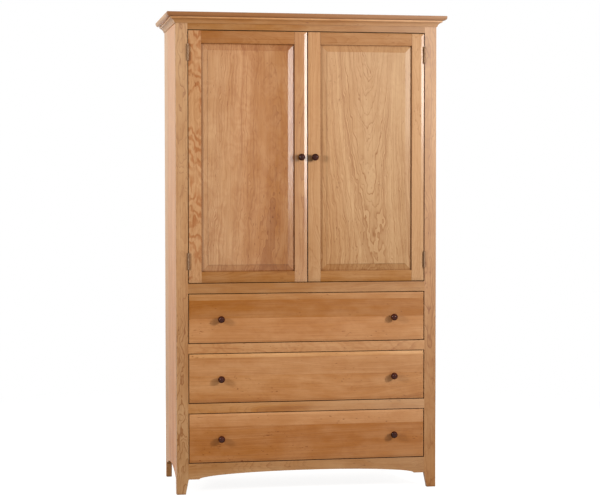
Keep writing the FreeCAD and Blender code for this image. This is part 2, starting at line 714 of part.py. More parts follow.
def drawer(floor):
    """The pieces of one drawer, whose sides run just above the floor given."""
    outer = OPENING - REVEAL
    inner = outer - DRAWER_SIDE_THICKNESS
    front_back = FRONT + DRAWER_FRONT_THICKNESS
    bottom, top = floor + DRAWER_RUN_CLEARANCE, floor + DRAWER_OPENING - DRAWER_SIDE_DROP
    panel_z = (bottom + DRAWER_BOTTOM_HEIGHT, bottom + DRAWER_BOTTOM_HEIGHT + DRAWER_BOTTOM_THICKNESS)
    front_z = (floor + REVEAL, floor + DRAWER_OPENING - REVEAL)
    back_shoulder = DRAWER_REAR - DRAWER_BACK_THICKNESS
    side_x = (-outer, -inner)
    front_tails = tails(front_back, front_back - DOVETAIL_LENGTH, front_z[0], top, side_x)
    back_tails = tails(back_shoulder, DRAWER_REAR, panel_z[1], top, side_x)

    side = block(side_x, (front_back, back_shoulder), (bottom, top))
    side = side.fuse(front_tails + back_tails)
    side = side.fuse(block(side_x, (back_shoulder, DRAWER_REAR), (bottom, panel_z[1])))
    groove_x = (-inner - DRAWER_GROOVE_DEPTH, -inner)
    side = whole(side.cut(block(groove_x, (front_back - DOVETAIL_LENGTH, DRAWER_REAR), panel_z)))

    front = bevelled_slab(
        (-outer, outer), (FRONT, front_back), front_z, DRAWER_BEVEL_WIDTH, DRAWER_BEVEL_DEPTH
    )
    sockets = front_tails + [mirrored(tail) for tail in front_tails]
    reach = inner + DRAWER_GROOVE_DEPTH
    groove = block((-reach, reach), (front_back - DRAWER_GROOVE_DEPTH, front_back), panel_z)
    knob_x = outer - DRAWER_KNOB_INSET
    knob_z = sum(front_z) / 2 - DRAWER_KNOB_DROP
    front = front.cut(sockets + [groove])

    back = block((-outer, outer), (back_shoulder, DRAWER_REAR), (panel_z[1], top))
    back = back.cut(back_tails + [mirrored(tail) for tail in back_tails])

    edge = reach - DRAWER_BOTTOM_GAP
    panel_front = front_back - DRAWER_GROOVE_DEPTH + DRAWER_BOTTOM_GAP
    return {
        "front": [whole(front)],
        "left_side": [side],
        "right_side": [mirrored(side)],
        "back": [whole(back)],
        "bottom": [block((-edge, edge), (panel_front, DRAWER_REAR), panel_z)],
        "knobs": [knob(-knob_x, knob_z), knob(knob_x, knob_z)],
    }


def left_door():
    return {
        "hinge_stile": [left_door_hinge_stile()],
        "meeting_stile": [left_door_meeting_stile()],
        "top_rail": [left_door_top_rail()],
        "bottom_rail": [left_door_bottom_rail()],
        "panel": [left_door_panel()],
        "strike": [left_door_strike()],
        "hinge_leaves": left_door_leaves(),
        "knob": [knob(DOOR_KNOB_X, DOOR_KNOB_Z)],
    }


def case():
    pieces = {
        "left_side": [left_side()],
        "left_stile": [left_stile()],
        "left_crown_cove": [left_cove()],
    }
    pieces.update({name.replace("left", "right"): [mirrored(p[0])] for name, p in pieces.items()})
    for name in FRAME_RAILS:
        pieces[name] = [arched_apron() if name == "arched_apron" else frame_rail(name)]
    pieces["front_crown_cove"] = [front_cove()]
    pieces["crown_board"] = [crown_board()]
    pieces["back_boards"] = [back_board(index) for index in range(BACK_BOARD_COUNT)]
    pieces["rear_top_rail"] = [rear_rail(CASE_TOP - REAR_TOP_RAIL_HEIGHT, CASE_TOP)]
    pieces["work_surface"] = [work_surface()]
    pieces["work_surface_frame"] = work_surface_frame()
    for name, z in zip(("bottom", "lower", "upper"), RUNNERS.values()):
        pieces[name + "_web_frame"] = web_frame(z)
    pieces["shelf"] = [shelf()]
    pieces["shelf_cleats"] = shelf_cleats()
    pieces["hinge_case_leaves"] = case_leaves()
    pieces["hinge_pins"] = hinge_pins()
    pieces["door_catches"] = door_catches()
    return pieces


def armoire():
    pieces = case()
    for name, solids in left_door().items():
        pieces["left_door_" + name] = solids
        pieces["right_door_" + name] = [mirrored(solid) for solid in solids]
    for name, floor in zip(DRAWER_NAMES, DRAWER_FLOORS):
        for piece, solids in drawer(floor).items():
            pieces[name + "_" + piece] = solids
    return pieces


def main():
    os.makedirs("parts", exist_ok=True)
    pieces = armoire()
    for name, solids in pieces.items():
        shape = solids[0] if len(solids) == 1 else Part.makeCompound(solids)
        shape.exportStep(os.path.join("parts", name + ".step"))
    print(len(pieces), "nodes,", sum(len(solids) for solids in pieces.values()), "solids")


main()
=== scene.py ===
import math

import bmesh
import bpy
from mathutils import Matrix, Vector


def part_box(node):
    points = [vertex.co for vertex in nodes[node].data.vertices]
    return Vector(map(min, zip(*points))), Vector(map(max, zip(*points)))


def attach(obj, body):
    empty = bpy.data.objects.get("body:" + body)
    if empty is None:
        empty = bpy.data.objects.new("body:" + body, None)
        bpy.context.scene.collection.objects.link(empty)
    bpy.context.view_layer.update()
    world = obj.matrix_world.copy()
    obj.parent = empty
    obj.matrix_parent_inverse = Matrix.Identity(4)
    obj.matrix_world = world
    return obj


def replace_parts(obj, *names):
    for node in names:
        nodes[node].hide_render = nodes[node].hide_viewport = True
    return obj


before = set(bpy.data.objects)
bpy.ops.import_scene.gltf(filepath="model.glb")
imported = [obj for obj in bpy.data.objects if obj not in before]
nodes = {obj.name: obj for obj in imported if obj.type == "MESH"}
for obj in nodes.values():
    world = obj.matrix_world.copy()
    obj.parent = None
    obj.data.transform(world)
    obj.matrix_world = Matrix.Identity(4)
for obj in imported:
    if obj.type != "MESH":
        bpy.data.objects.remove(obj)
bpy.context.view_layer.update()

scene = bpy.context.scene
scene.view_settings.view_transform = "Standard"
print("frame loaded:", len(nodes), "nodes")


# camera, at the photographed angle

camera = {
    "place": (-1.2066, -6.8385, 1.2385),
    "yaw": 0.17543,  # to the right of straight on
    "pitch": 0.03841,  # downwards
    "roll": 0.0007,
    "lens": 100.0,
    "sensor": 36.0,
}


def makeCamera(spec):
    data = bpy.data.cameras.new("camera")
    data.lens = spec["lens"]
    data.sensor_width = spec["sensor"]
    holder = bpy.data.objects.new("camera", data)
    scene.collection.objects.link(holder)
    holder.location = spec["place"]
    holder.rotation_euler = (math.pi / 2 - spec["pitch"], spec["roll"], -spec["yaw"])
    scene.camera = holder


makeCamera(camera)
print("camera placed")


# node helpers

def tint(red, green, blue):
    def linear(level):
        level /= 255
        return level / 12.92 if level <= 0.04045 else ((level + 0.055) / 1.055) ** 2.4

    return (linear(red), linear(green), linear(blue), 1.0)


def wire(tree, node, wires):
    for socket, value in wires.items():
        if isinstance(value, bpy.types.NodeSocket):
            tree.links.new(value, node.inputs[socket])
        else:
            node.inputs[socket].default_value = value


def put(tree, kind, wires=None, **settings):
    node = tree.nodes.new("ShaderNode" + kind)
    for key, value in settings.items():
        setattr(node, key, value)
    wire(tree, node, wires or {})
    return node


def calc(tree, operation, *values, clamp=False):
    return put(tree, "Math", dict(enumerate(values)), operation=operation, use_clamp=clamp).outputs[0]


def vectorCalc(tree, operation, *values):
    wires = dict(enumerate(values))
    if operation == "SCALE":
        wires = {0: values[0], "Scale": values[1]}
    node = put(tree, "VectorMath", wires, operation=operation)
    return node.outputs["Value" if operation in ("LENGTH", "DOT_PRODUCT") else "Vector"]


def mixColour(tree, factor, first, second, mode="MIX"):
    wires = {0: factor, 6: first, 7: second}
    return put(tree, "Mix", wires, data_type="RGBA", blend_type=mode).outputs[2]


def stain(tree, factor, colour, shade):
    return mixColour(tree, factor, colour, shade, "MULTIPLY")


def ease(tree, value, low, high, start=0.0, stop=1.0):
    wires = {0: value, 1: low, 2: high, 3: start, 4: stop}
    return put(tree, "MapRange", wires, interpolation_type="SMOOTHSTEP").outputs[0]


def newGroup(name, inputs, outputs):
    tree = bpy.data.node_groups.new(name, "ShaderNodeTree")
    for label, kind, value in inputs:
        socket = tree.interface.new_socket(label, in_out="INPUT", socket_type="NodeSocket" + kind)
        socket.default_value = value
    for label, kind in outputs:
        tree.interface.new_socket(label, in_out="OUTPUT", socket_type="NodeSocket" + kind)
    return tree, tree.nodes.new("NodeGroupInput").outputs, tree.nodes.new("NodeGroupOutput")


def useGroup(tree, group, wires):
    return put(tree, "Group", wires, node_tree=group).outputs


def newMaterial(name):
    material = bpy.data.materials.new(name)
    material.use_nodes = True
    return material, material.node_tree, material.node_tree.nodes["Principled BSDF"]


# wood figure: growth rings about a wandering heart, broad streaks, curl, gum flecks and fibres.
# Board is (across the face, into the board, along the grain) in metres.

figureLook = {
    "noises": {  # scale across and along the grain, then detail
        "wander": (1.3, 1.0, 1.0),
        "bend": (10, 2.4, 2.0),
        "ripple": (46, 9, 2.0),
        "wild": (30, 13, 2.0),
        "lateFade": (9, 1.6, 1.0),
        "streak": (12, 0.8, 3.0),
        "mottle": (22, 9, 2.0),
        "pink": (5, 0.7, 1.0),
        "grain": (250, 2.4, 2.0),
        "curl": (24, 14, 2.0),
        "curlPatch": (16, 7, 1.0),
        "fleck": (190, 55, 1.0),
        "fleckPatch": (8, 5, 1.0),
        "fibre": (620, 11, 3.0),
        "pore": (1500, 55, 1.0),
    },
    "ranges": {  # where a noise starts to show and where it shows fully
        "lateFade": (0.28, 0.56),
        "streak": (0.25, 0.75),
        "mottle": (0.3, 0.7),
        "grain": (0.46, 0.72),
        "curl": (-0.6, 1.0),  # of its wave
        "curlPatch": (0.32, 0.58),
        "fleck": (0.69, 0.76),
        "fleckPatch": (0.50, 0.60),
        "fibre": (0.35, 0.75),
        "pore": (0.60, 0.72),
    },
    "seedShift": (7.3, 3.9, 5.7),  # where another seed takes the noises
    "ringSeed": 13.0,
    "wanderReach": 0.17,  # metres, as the next three
    "bendReach": 0.020,
    "rippleReach": 0.0065,
    "wildReach": 0.016,
    "unevenScale": 55,
    "unevenReach": 4.0,  # rings
    "lateSharp": 2.2,
    "lateSlope": 0.4,
    "lateRange": (0.8, 0.2),  # swing from ring to ring, and the least
    "lateLeast": 0.25,  # where the lines fade out
    "bandScale": 24,
    "bandReach": 0.2,
    "ringReach": 0.08,
    "pinkReach": 0.9,
    "curlWaves": (50.0, 120.0),  # across and along
    "curlBend": 26.0,
    "grain": 0.5,
    "fibre": 0.5,
    "pore": 0.35,
    "grainTint": (0.80, 0.72, 0.62, 1),
    "curlTint": (0.78, 0.60, 0.48, 1),
    "fleckTint": (0.46, 0.30, 0.20, 1),
    "fibreTint": (0.84, 0.79, 0.74, 1),
    "poreTint": (0.62, 0.50, 0.40, 1),
    "fibreRise": 0.35,
    "lateRise": -0.25,
    "poreRise": -0.5,
}


def makeWoodFigure(look):
    tree, given, made = newGroup(
        "woodFigure",
        [
            ("Board", "Vector", (0, 0, 0)),
            ("Heart", "Vector", (0, 0.07, 0)),
            ("Seed", "Float", 0.0),
            ("Tone", "Float", 0.5),
            ("Pink", "Float", 0.3),
            ("Shade", "Float", 1.0),
            ("Ring Width", "Float", 0.0042),
            ("Ring Contrast", "Float", 0.5),
            ("Streak", "Float", 0.5),
            ("Mottle", "Float", 0.2),
            ("Curl", "Float", 0.0),
            ("Wild", "Float", 0.0),
            ("Fleck", "Float", 0.5),
            ("Pale", "Color", (1, 1, 1, 1)),
            ("Rich", "Color", (1, 1, 1, 1)),
            ("Pink Tint", "Color", (1, 1, 1, 1)),
            ("Late Tint", "Color", (1, 1, 1, 1)),
        ],
        [("Color", "Color"), ("Height", "Float"), ("Fibre", "Float")],
    )
    board, seed = given["Board"], given["Seed"]
    shifts = [calc(tree, "MULTIPLY", seed, amount) for amount in look["seedShift"]]
    shift = put(tree, "CombineXYZ", dict(enumerate(shifts))).outputs[0]

    def noise(name, output=0):
        across, along, detail = look["noises"][name]
        stretched = vectorCalc(tree, "MULTIPLY", board, (across, across, along))
        moved = vectorCalc(tree, "ADD", stretched, shift)
        return put(tree, "TexNoise", {"Vector": moved, "Scale": 1.0, "Detail": detail}).outputs[output]

    def shown(name, start=0.0, stop=1.0):
        return ease(tree, noise(name), *look["ranges"][name], start, stop)

    def lineNoise(place, scale):
        place = calc(tree, "ADD", calc(tree, "MULTIPLY", place, scale), seed)
        wires = {"W": place, "Scale": 1.0, "Detail": 1.0}
        return put(tree, "TexNoise", wires, noise_dimensions="1D").outputs[0]

    def swing(value, reach):
        return calc(tree, "MULTIPLY", calc(tree, "SUBTRACT", value, 0.5), reach)

    # distance from the heart, which wanders along the board
    wander = vectorCalc(tree, "SUBTRACT", noise("wander", 1), (0.5, 0.5, 0.5))
    sway = (look["wanderReach"], look["wanderReach"], 0.0)
    away = vectorCalc(tree, "SUBTRACT", board, given["Heart"])
    away = vectorCalc(tree, "MULTIPLY_ADD", wander, sway, away)
    radius = vectorCalc(tree, "LENGTH", vectorCalc(tree, "MULTIPLY", away, (1, 1, 0)))
    wildReach = calc(tree, "MULTIPLY", given["Wild"], look["wildReach"])
    for name, reach in (("bend", look["bendReach"]), ("ripple", look["rippleReach"]), ("wild", wildReach)):
        radius = calc(tree, "ADD", radius, swing(noise(name), reach))

    # rings of uneven width, each darkening to a late-wood line
    rings = calc(tree, "DIVIDE", radius, given["Ring Width"])
    rings = calc(tree, "ADD", rings, swing(lineNoise(radius, look["unevenScale"]), look["unevenReach"]))
    phase = calc(tree, "FRACT", rings)
    ringSeed = calc(tree, "MULTIPLY_ADD", seed, look["ringSeed"], calc(tree, "FLOOR", rings))
    ringShade = put(tree, "TexWhiteNoise", {"W": ringSeed}, noise_dimensions="1D").outputs[0]
    sideways = calc(tree, "ABSOLUTE", put(tree, "SeparateXYZ", {0: away}).outputs[0])
    slope = calc(tree, "MAXIMUM", calc(tree, "DIVIDE", sideways, radius), look["lateSlope"])
    late = calc(tree, "POWER", phase, calc(tree, "DIVIDE", look["lateSharp"], slope))
    lateMask = calc(tree, "MULTIPLY", late, calc(tree, "MULTIPLY_ADD", ringShade, *look["lateRange"]))
    lateMask = calc(tree, "MULTIPLY", lateMask, shown("lateFade", look["lateLeast"]))
    lateMask = calc(tree, "MULTIPLY", lateMask, given["Ring Contrast"], clamp=True)

    # board tone with streaks along the grain and bands that follow the rings
    streak = swing(shown("streak"), given["Streak"])
    band = swing(lineNoise(radius, look["bandScale"]), look["bandReach"])
    mottle = swing(shown("mottle"), given["Mottle"])
    tone = calc(tree, "ADD", calc(tree, "ADD", given["Tone"], streak), calc(tree, "ADD", band, mottle))
    tone = calc(tree, "ADD", tone, swing(ringShade, look["ringReach"]), clamp=True)
    colour = mixColour(tree, tone, given["Rich"], given["Pale"])
    pink = calc(tree, "ADD", given["Pink"], swing(noise("pink"), look["pinkReach"]), clamp=True)
    colour = stain(tree, pink, colour, given["Pink Tint"])
    colour = stain(tree, lateMask, colour, given["Late Tint"])
    grain = calc(tree, "MULTIPLY", shown("grain"), look["grain"])
    colour = stain(tree, grain, colour, look["grainTint"])
    colour = vectorCalc(tree, "SCALE", colour, given["Shade"])

    # curl: soft blotches across the grain, in patches
    parts = put(tree, "SeparateXYZ", {0: board}).outputs
    acrossWaves, alongWaves = look["curlWaves"]
    wave = calc(tree, "MULTIPLY_ADD", parts[2], alongWaves, calc(tree, "MULTIPLY", parts[0], acrossWaves))
    wave = calc(tree, "SINE", calc(tree, "MULTIPLY_ADD", noise("curl"), look["curlBend"], wave))
    patch = calc(tree, "MULTIPLY", shown("curlPatch"), given["Curl"])
    curl = calc(tree, "MULTIPLY", ease(tree, wave, *look["ranges"]["curl"]), patch)
    colour = stain(tree, curl, colour, look["curlTint"])

    # gum flecks, fibres and pores
    fleck = calc(tree, "MULTIPLY", shown("fleck"), shown("fleckPatch"))
    fleck = calc(tree, "MULTIPLY", fleck, given["Fleck"], clamp=True)
    colour = stain(tree, fleck, colour, look["fleckTint"])
    fibre, pore = noise("fibre"), shown("pore")
    fibreMask = ease(tree, fibre, *look["ranges"]["fibre"], 0.0, look["fibre"])
    colour = stain(tree, fibreMask, colour, look["fibreTint"])
    colour = stain(tree, calc(tree, "MULTIPLY", pore, look["pore"]), colour, look["poreTint"])

    height = calc(tree, "MULTIPLY", late, look["lateRise"])
    height = calc(tree, "MULTIPLY_ADD", fibre, look["fibreRise"], height)
    height = calc(tree, "MULTIPLY_ADD", pore, look["poreRise"], height)
    wire(tree, made, {"Color": colour, "Height": height, "Fibre": fibre})
    return tree


# wear and painted shade: eased edges rubbed a little paler (wear), corners darkened as painted shade with
# some finish gathered there, and gaps darkened as painted shade

noiseMiddle = (0.3, 0.7)
wearAndShadeLook = {
    "edge": 0.0014,
    "reach": 0.02,
    "patches": 28.0,
    "samples": 4,
    "arrisTurn": (0.01, 0.25),
    "edgePatch": noiseMiddle,
    "cornerShade": (0.80, 0.45),
    "cornerPatch": (0.1, 0.5),
    "gapShade": (0.44, 0.14),
}


def makeWearAndShade(look):
    tree, given, made = newGroup(
        "wearAndShade",
        [("Edge Width", "Float", look["edge"]), ("Corner Reach", "Float", look["reach"])],
        [("Edge", "Float"), ("Arris", "Float"), ("Corner", "Float"), ("Gap", "Float"), ("Normal", "Vector")],
    )
    place = put(tree, "TexCoord").outputs["Object"]
    patches = put(tree, "TexNoise", {"Vector": place, "Scale": look["patches"], "Detail": 3.0}).outputs[0]
    rounded = put(tree, "Bevel", {"Radius": given["Edge Width"]}, samples=look["samples"]).outputs[0]
    flat = put(tree, "NewGeometry").outputs["Normal"]
    turn = calc(tree, "SUBTRACT", 1.0, vectorCalc(tree, "DOT_PRODUCT", rounded, flat))
    arris = ease(tree, turn, *look["arrisTurn"])
    edge = calc(tree, "MULTIPLY", arris, ease(tree, patches, *look["edgePatch"]))
    # occlusion masks for the painted shade in corners and in gaps
    occlusion = put(tree, "AmbientOcclusion", {"Distance": given["Corner Reach"]}, samples=look["samples"])
    shade = occlusion.outputs["AO"]
    corner = ease(tree, shade, *look["cornerShade"])
    corner = calc(tree, "MULTIPLY", corner, ease(tree, patches, *look["cornerPatch"]))
    gap = ease(tree, shade, *look["gapShade"])
    wire(tree, made, {"Edge": edge, "Arris": arris, "Corner": corner, "Gap": gap, "Normal": rounded})
    return tree


woodFigure = makeWoodFigure(figureLook)
wearAndShade = makeWearAndShade(wearAndShadeLook)
print("node groups made")

woods = {
    "cherry": {
        "pale": tint(230, 184, 134),
        "rich": tint(182, 117, 47),
        "pinkTint": (1.0, 0.90, 0.86, 1),
        "lateTint": (0.64, 0.48, 0.35, 1),
        "ring": 0.0046,
        "contrast": 0.8,
        "streak": 0.4,
        "fleck": 0.8,
        "gloss": (0.40, 0.54),
        "specular": 0.08,
        "coat": 0.1,
        "coatRough": 0.2,
    },
    "drawerMaple": {
        "pale": tint(232, 208, 170),
        "rich": tint(208, 172, 126),
        "pinkTint": (1.0, 0.93, 0.88, 1),
        "lateTint": (0.84, 0.74, 0.62, 1),
        "ring": 0.0030,
        "contrast": 0.45,
        "streak": 0.4,
        "fleck": 0.25,
        "gloss": (0.42, 0.58),
        "specular": 0.3,
        "coat": 0.1,
        "coatRough": 0.3,
    },
    "framePoplar": {
        "pale": tint(222, 204, 164),
        "rich": tint(186, 164, 116),
        "pinkTint": (0.95, 0.97, 0.86, 1),
        "lateTint": (0.80, 0.74, 0.60, 1),
        "ring": 0.0050,
        "contrast": 0.5,
        "streak": 0.6,
        "fleck": 0.3,
        "gloss": (0.50, 0.66),
        "specular": 0.3,
        "coat": 0.0,  # left bare
        "coatRough": 0.3,
    },
    "knobRosewood": {
        "pale": tint(88, 31, 9),
        "rich": tint(42, 12, 3),
        "pinkTint": (1.0, 0.86, 0.78, 1),
        "lateTint": (0.45, 0.38, 0.36, 1),
        "ring": 0.0022,
        "contrast": 0.8,
        "streak": 0.6,
        "fleck": 0.2,
        "gloss": (0.22, 0.34),
        "specular": 0.0,
        "coat": 0.4,
        "coatRough": 0.05,
    },
}
woodFinish = {  # for every board whose own settings say nothing else
    "joints": "CONSTANT",
    "heartSeed": 111.0,  # boards with hearts in other places get other figure
    "mottle": 0.2,
    "curl": 0.12,
    "edge": 0.0014,
    "rub": 0.25,  # how pale a rubbed edge goes
    # painted sheen: colour mixed towards a pale tint where the finish's glare fell
    "paintedLight": 0.0,
    "paintedLightSpan": (0.0, 1.0),
    "paintedLightTint": tint(238, 228, 208),
    "endPaintedLightTurn": (0.35, 0.8),
    "endTintTurn": (0.06, 0.16),
    # painted shade: how strongly corners (partly gathered finish) and gaps are darkened, and their tints
    "corner": 0.5,
    "cornerShadeTint": (0.60, 0.43, 0.29, 1),
    "cornerRough": 0.12,
    "gap": 1.0,
    "gapShadeTint": (0.14, 0.06, 0.035, 1),
    "coatIor": 1.5,
    "relief": 0.25,
    "reliefDepth": 0.0003,
}


def axesOf(spec):
    return "xyz".index(spec["across"]), "xyz".index(spec["along"])


def boardPlace(tree, parts, spec, low):
    across, along = axesOf(spec)
    depth = 3 - across - along
    inward = calc(tree, "SUBTRACT", parts[depth], low[depth])
    return put(tree, "CombineXYZ", {0: parts[across], 1: inward, 2: parts[along]}).outputs[0]


def woodMaterial(name, wood, box, spec):
    spec = {**woodFinish, **woods[wood], **spec}
    material, tree, shader = newMaterial(name)
    low, high = box
    across, along = axesOf(spec)
    parts = put(tree, "SeparateXYZ", {0: put(tree, "TexCoord").outputs["Object"]}).outputs
    board = boardPlace(tree, parts, spec, low)
    if "turned" in spec:  # solids beyond a line run the other way
        other = spec["turned"]
        place = boardPlace(tree, parts, other, low)
        beyond = calc(tree, "GREATER_THAN", parts["xyz".index(other["axis"])], other["beyond"])
        board = put(tree, "Mix", {0: beyond, 4: board, 5: place}, data_type="VECTOR").outputs[1]

    # one stop for each glued-up board: tone, pinkness, where its heart lies (from a width before
    # the piece to a width after it) and how light it is (half a step down, in the alpha)
    share = put(tree, "MapRange", {0: parts[across], 1: low[across], 2: high[across]}).outputs[0]
    ramp = put(tree, "ValToRGB", {0: share})
    ramp.color_ramp.interpolation = spec["joints"]
    stops = ramp.color_ramp.elements
    for number, (start, tone, pink, heart, *light) in enumerate(spec["boards"]):
        if number > 1:
            stops.new(start)
        stops[number].position = start
        stops[number].color = (tone, pink, (heart + 1) / 3, (*light, 1.0)[0] - 0.5)
    if len(spec["boards"]) == 1:
        stops.remove(stops[1])
    tones = put(tree, "SeparateColor", {0: ramp.outputs[0]}).outputs
    width = high[across] - low[across]
    heart = calc(tree, "MULTIPLY_ADD", tones[2], 3 * width, low[across] - width)
    seed = calc(tree, "MULTIPLY", tones[2], spec["heartSeed"])
    figure = useGroup(
        tree,
        woodFigure,
        {
            "Board": board,
            "Heart": put(tree, "CombineXYZ", {0: heart, 1: spec["heartDepth"]}).outputs[0],
            "Seed": calc(tree, "ADD", seed, spec["seed"]),
            "Tone": tones[0],
            "Pink": tones[1],
            "Shade": calc(tree, "ADD", ramp.outputs[1], 0.5),
            "Ring Width": spec["ring"],
            "Ring Contrast": spec["contrast"],
            "Streak": spec["streak"],
            "Mottle": spec["mottle"],
            "Curl": spec["curl"],
            "Wild": spec.get("wild", spec["curl"]),
            "Fleck": spec["fleck"],
            "Pale": spec["pale"],
            "Rich": spec["rich"],
            "Pink Tint": spec["pinkTint"],
            "Late Tint": spec["lateTint"],
        },
    )
    worn = useGroup(tree, wearAndShade, {"Edge Width": spec["edge"]})

    def ending(turn, start=0.0, stop=1.0):  # how far a face turns towards the end of the grain
        normal = put(tree, "SeparateXYZ", {0: put(tree, "NewGeometry").outputs["Normal"]}).outputs
        return ease(tree, calc(tree, "ABSOLUTE", normal[along]), *turn, start, stop)

    # painted sheen and painted light: the colour is mixed towards a pale tint
    paintedLight = spec["paintedLight"]
    if "farPaintedLight" in spec:  # paler towards the far end
        near, far = (low[along] + part * (high[along] - low[along]) for part in spec["paintedLightSpan"])
        wires = {0: parts[along], 1: near, 2: far, 3: paintedLight, 4: spec["farPaintedLight"]}
        paintedLight = put(tree, "MapRange", wires).outputs[0]
    if "endPaintedLight" in spec:  # painted light: faces at the ends of the grain painted paler, as if lit from the side
        paintedLight = ending(spec["endPaintedLightTurn"], paintedLight, spec["endPaintedLight"])
    colour = mixColour(tree, paintedLight, figure["Color"], spec["paintedLightTint"])
    if "endTint" in spec:  # bevels across the grain made darker
        colour = stain(tree, ending(spec["endTintTurn"]), colour, spec["endTint"])
    colour = mixColour(tree, calc(tree, "MULTIPLY", worn["Edge"], spec["rub"]), colour, spec["pale"])
    shine = calc(tree, "MULTIPLY", calc(tree, "SUBTRACT", 1.0, worn["Gap"]), spec["coat"])
    if "arris" in spec:  # painted shadow along the edge beside a gap, with less coat there
        colour = mixColour(tree, worn["Arris"], colour, spec["arris"])
        shine = calc(tree, "MULTIPLY", calc(tree, "SUBTRACT", 1.0, worn["Arris"]), shine)
    # painted shade in corners (partly gathered finish) and painted shade in the gaps
    colour = stain(tree, calc(tree, "MULTIPLY", worn["Corner"], spec["corner"]), colour, spec["cornerShadeTint"])
    colour = stain(tree, calc(tree, "MULTIPLY", worn["Gap"], spec["gap"]), colour, spec["gapShadeTint"])
    rough = ease(tree, figure["Fibre"], *noiseMiddle, *spec["gloss"])
    rough = calc(tree, "MULTIPLY_ADD", worn["Corner"], spec["cornerRough"], rough, clamp=True)
    relief = {"Strength": spec["relief"], "Distance": spec["reliefDepth"]}
    bump = put(tree, "Bump", {**relief, "Height": figure["Height"], "Normal": worn["Normal"]})
    wire(tree, shader, {"Base Color": colour, "Roughness": rough, "Normal": bump.outputs[0]})
    if spec["coat"]:
        wire(tree, shader, {"Coat Weight": shine})
    shader.inputs["Specular IOR Level"].default_value = spec["specular"]
    shader.inputs["Coat Roughness"].default_value = spec["coatRough"]
    shader.inputs["Coat IOR"].default_value = spec["coatIor"]
    return material


def dress(node, material):
    mesh = nodes[node].data
    mesh.materials.clear()
    mesh.materials.append(material)


# how a board lies: the way its grain runs, and the way across its face
upright = {"along": "z", "across": "x"}
rail = {"along": "x", "across": "z"}
sidePlank = {"along": "z", "across": "y"}
sideStrip = {"along": "y", "across": "z"}
flatBoard = {"along": "x", "across": "y"}
runner = {"along": "y", "across": "x"}

# boards of the case. Each glued-up board has its start (share across), tone, pinkness, heart
# (share across) and, where it isn't 1, how light it is.

